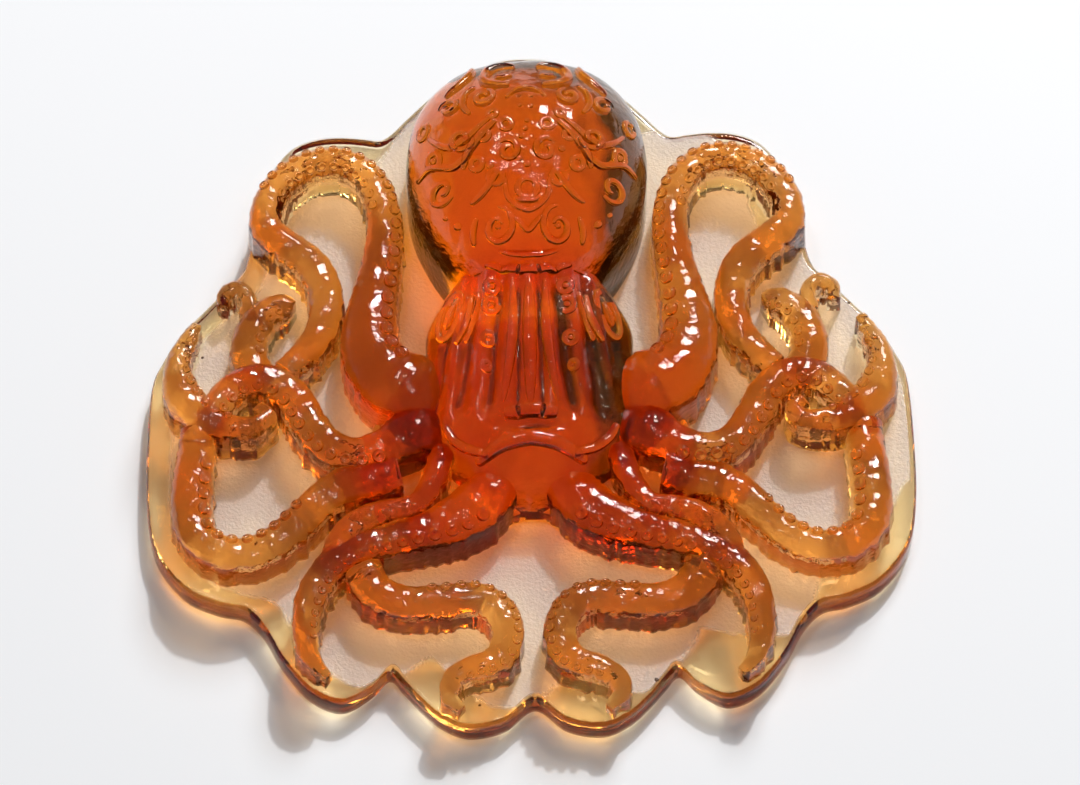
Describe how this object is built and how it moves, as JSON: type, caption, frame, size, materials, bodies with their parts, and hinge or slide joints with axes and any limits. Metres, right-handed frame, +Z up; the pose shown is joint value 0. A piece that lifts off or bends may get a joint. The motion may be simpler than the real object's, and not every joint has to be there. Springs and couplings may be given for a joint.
{
  "type": "octopus relief paperweight",
  "caption": "Translucent amber relief ornament of an octopus with curling suckered arms on a thin scalloped plate, lying flat on its underside.",
  "frame": {"origin": "middle of the bounding box at the flat underside", "axes": "+Z up from the underside through the relief, +Y from the arms towards the mantle, +X across to the right when the relief is seen from above with the mantle at the back"},
  "size_m": [0.0902, 0.0895, 0.0241],
  "materials": {
    "plate": "clear amber, fine frosted top and glossy rim",
    "body": "deep orange amber, glossy",
    "arm": "golden amber, glossy crowns and pleated walls",
    "web": "golden amber, glossy",
    "sucker": "golden amber, glossy",
    "ornament": "orange amber, glossy",
    "eye": "orange amber, glossy"
  },
  "bodies": {
    "root": {"backing_plate": "plate", "mantle": "body", "mantle_rings": "ornament", "mantle_scrolls": "ornament", "mantle_beads": "ornament", "head": "body", "brow": "ornament", "nose_furrows": "ornament", "lips": "ornament", "web": "web", "eye_ring_right": "ornament", "eye_ball_right": "eye", "eyelid_right": "ornament", "cheek_rings_right": "ornament", "upper_arm_right": "arm", "upper_curl_right": "arm", "upper_tip_right": "arm", "side_arm_right": "arm", "side_tip_right": "arm", "lower_arm_right": "arm", "front_outer_arm_right": "arm", "front_inner_arm_right": "arm", "upper_arm_suckers_right": "sucker", "upper_curl_suckers_right": "sucker", "side_arm_suckers_right": "sucker", "side_tip_suckers_right": "sucker", "lower_arm_suckers_right": "sucker", "front_outer_arm_suckers_right": "sucker", "front_inner_arm_suckers_right": "sucker", "eye_ring_left": "ornament", "eye_ball_left": "eye", "eyelid_left": "ornament", "cheek_rings_left": "ornament", "upper_arm_left": "arm", "upper_curl_left": "arm", "upper_tip_left": "arm", "side_arm_left": "arm", "side_tip_left": "arm", "lower_arm_left": "arm", "front_outer_arm_left": "arm", "front_inner_arm_left": "arm", "upper_arm_suckers_left": "sucker", "upper_curl_suckers_left": "sucker", "side_arm_suckers_left": "sucker", "side_tip_suckers_left": "sucker", "lower_arm_suckers_left": "sucker", "front_outer_arm_suckers_left": "sucker", "front_inner_arm_suckers_left": "sucker"}
  },
  "joints": []
}
